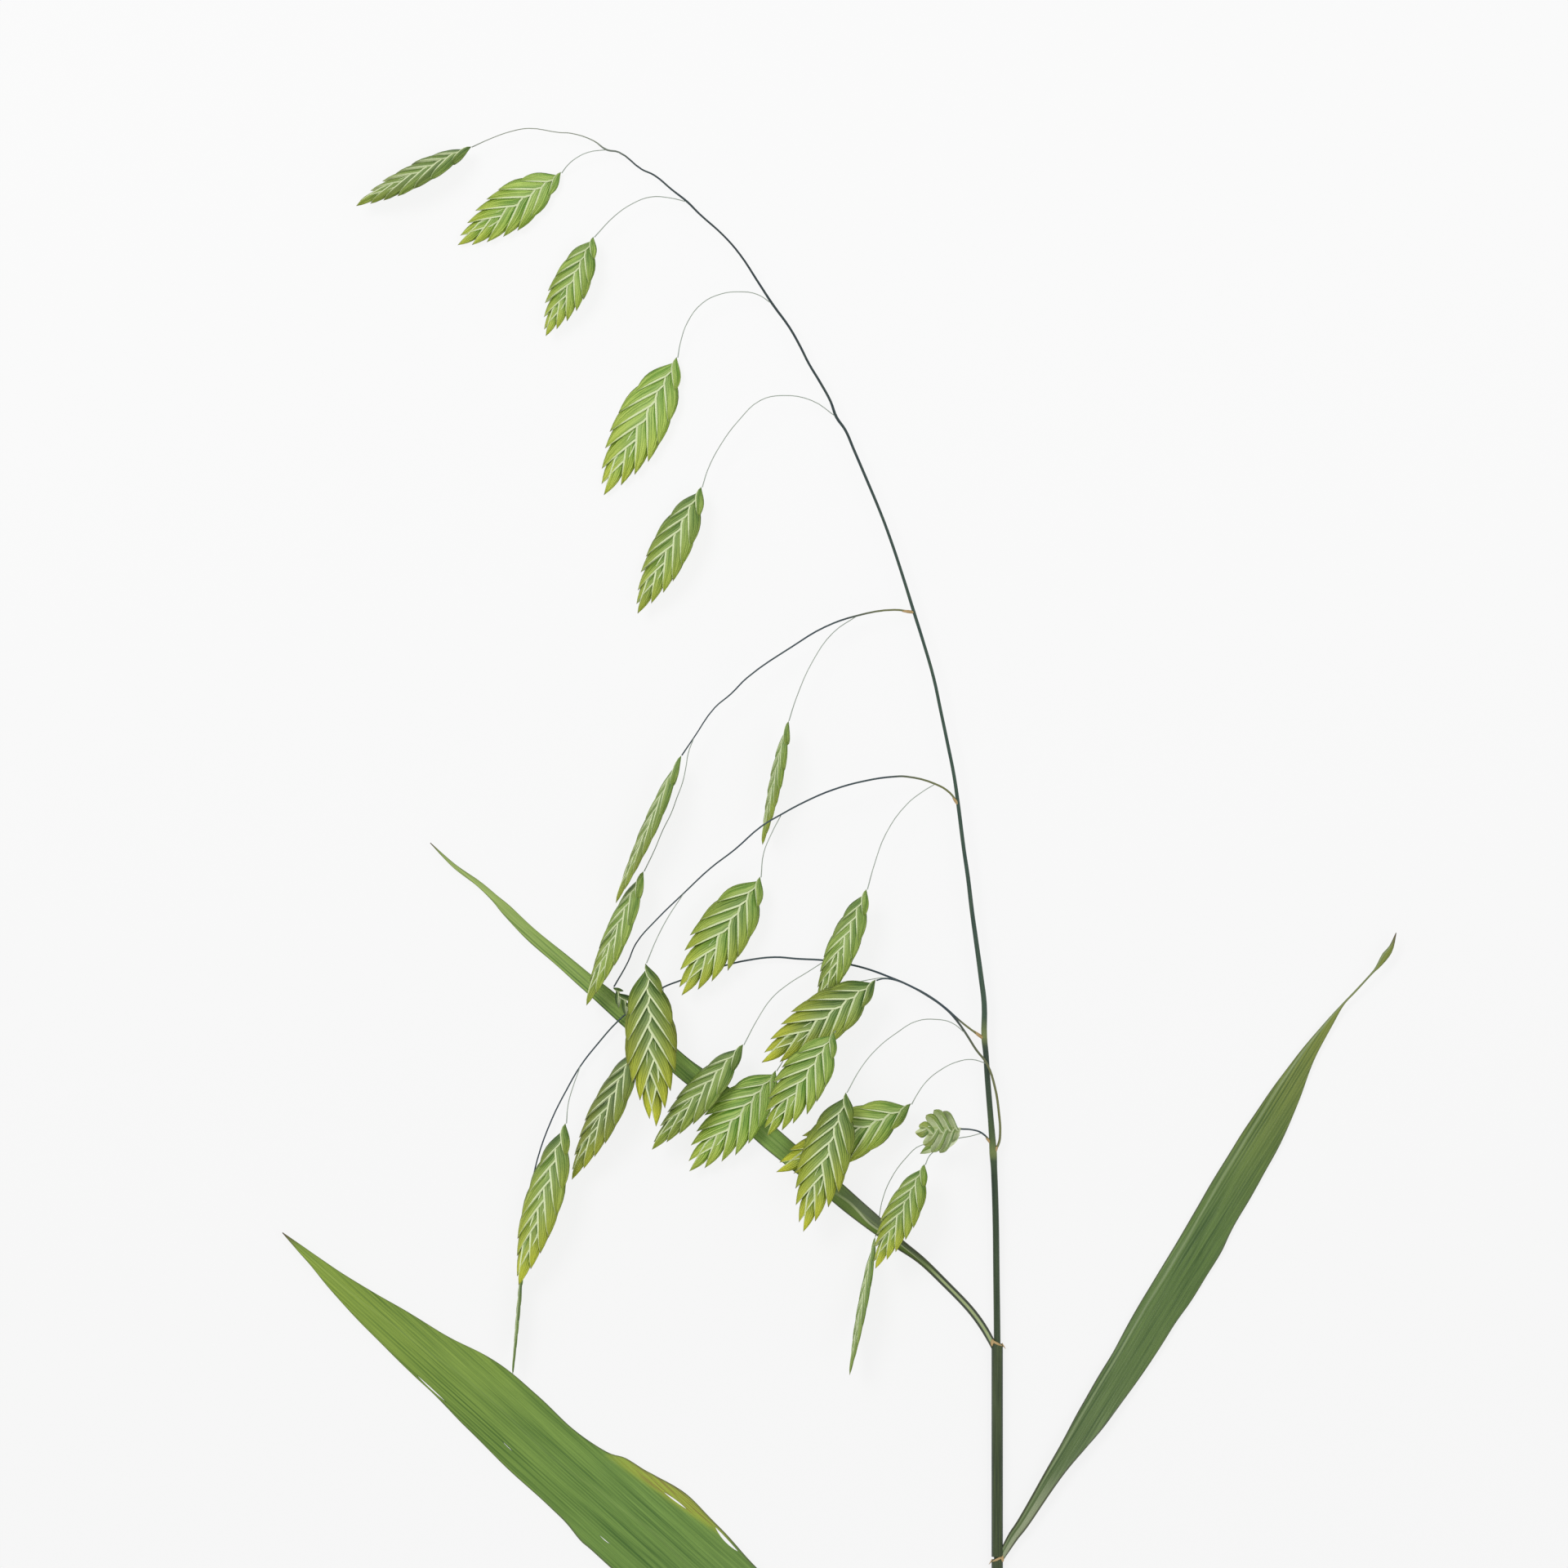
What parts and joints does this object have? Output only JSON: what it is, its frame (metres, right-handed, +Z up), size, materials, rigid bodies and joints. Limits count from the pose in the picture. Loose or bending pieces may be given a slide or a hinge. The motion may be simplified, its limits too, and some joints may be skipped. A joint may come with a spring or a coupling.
{
  "type": "cut stem of northern sea oats",
  "caption": "Cut stem of an ornamental grass lying flat: slender jointed culm, long narrow leaves, and an arching open head of flat drooping spikelets of overlapping scales.",
  "frame": {"origin": "centre of the plant's bounding box at the surface it lies on", "axes": "+Z up from the surface, +Y along the culm from its cut end towards the head, +X towards the side that the single right leaf reaches to"},
  "size_m": [0.2184, 0.3622, 0.025],
  "materials": {
    "culm": "satin green grass stem",
    "stalk": "satin slate green hair-thin stalks",
    "leaf": "satin ribbed leaf blade",
    "spikelet": "matte papery scales with pale margins"
  },
  "bodies": {
    "root": {"branch_a": "stalk", "branch_b": "stalk", "branch_c": "stalk", "branch_d": "stalk", "branch_e": "stalk", "culm": "culm", "flag_leaf": "leaf", "left_leaf": "leaf", "pedicel_02": "stalk", "pedicel_03": "stalk", "pedicel_04": "stalk", "pedicel_05": "stalk", "right_leaf": "leaf", "spikelet_01": "spikelet", "spikelet_02": "spikelet", "spikelet_03": "spikelet", "spikelet_04": "spikelet", "spikelet_05": "spikelet", "spikelet_06": "spikelet", "spikelet_07": "spikelet", "spikelet_08": "spikelet", "spikelet_09": "spikelet", "spikelet_10": "spikelet", "spikelet_11": "spikelet", "spikelet_12": "spikelet", "spikelet_13": "spikelet", "spikelet_14": "spikelet", "spikelet_15": "spikelet", "spikelet_16": "spikelet", "spikelet_17": "spikelet", "spikelet_18": "spikelet", "spikelet_19": "spikelet", "spikelet_20": "spikelet", "spikelet_21": "spikelet", "spikelet_22": "spikelet", "spikelet_23": "spikelet", "spikelet_24": "spikelet"}
  },
  "joints": []
}
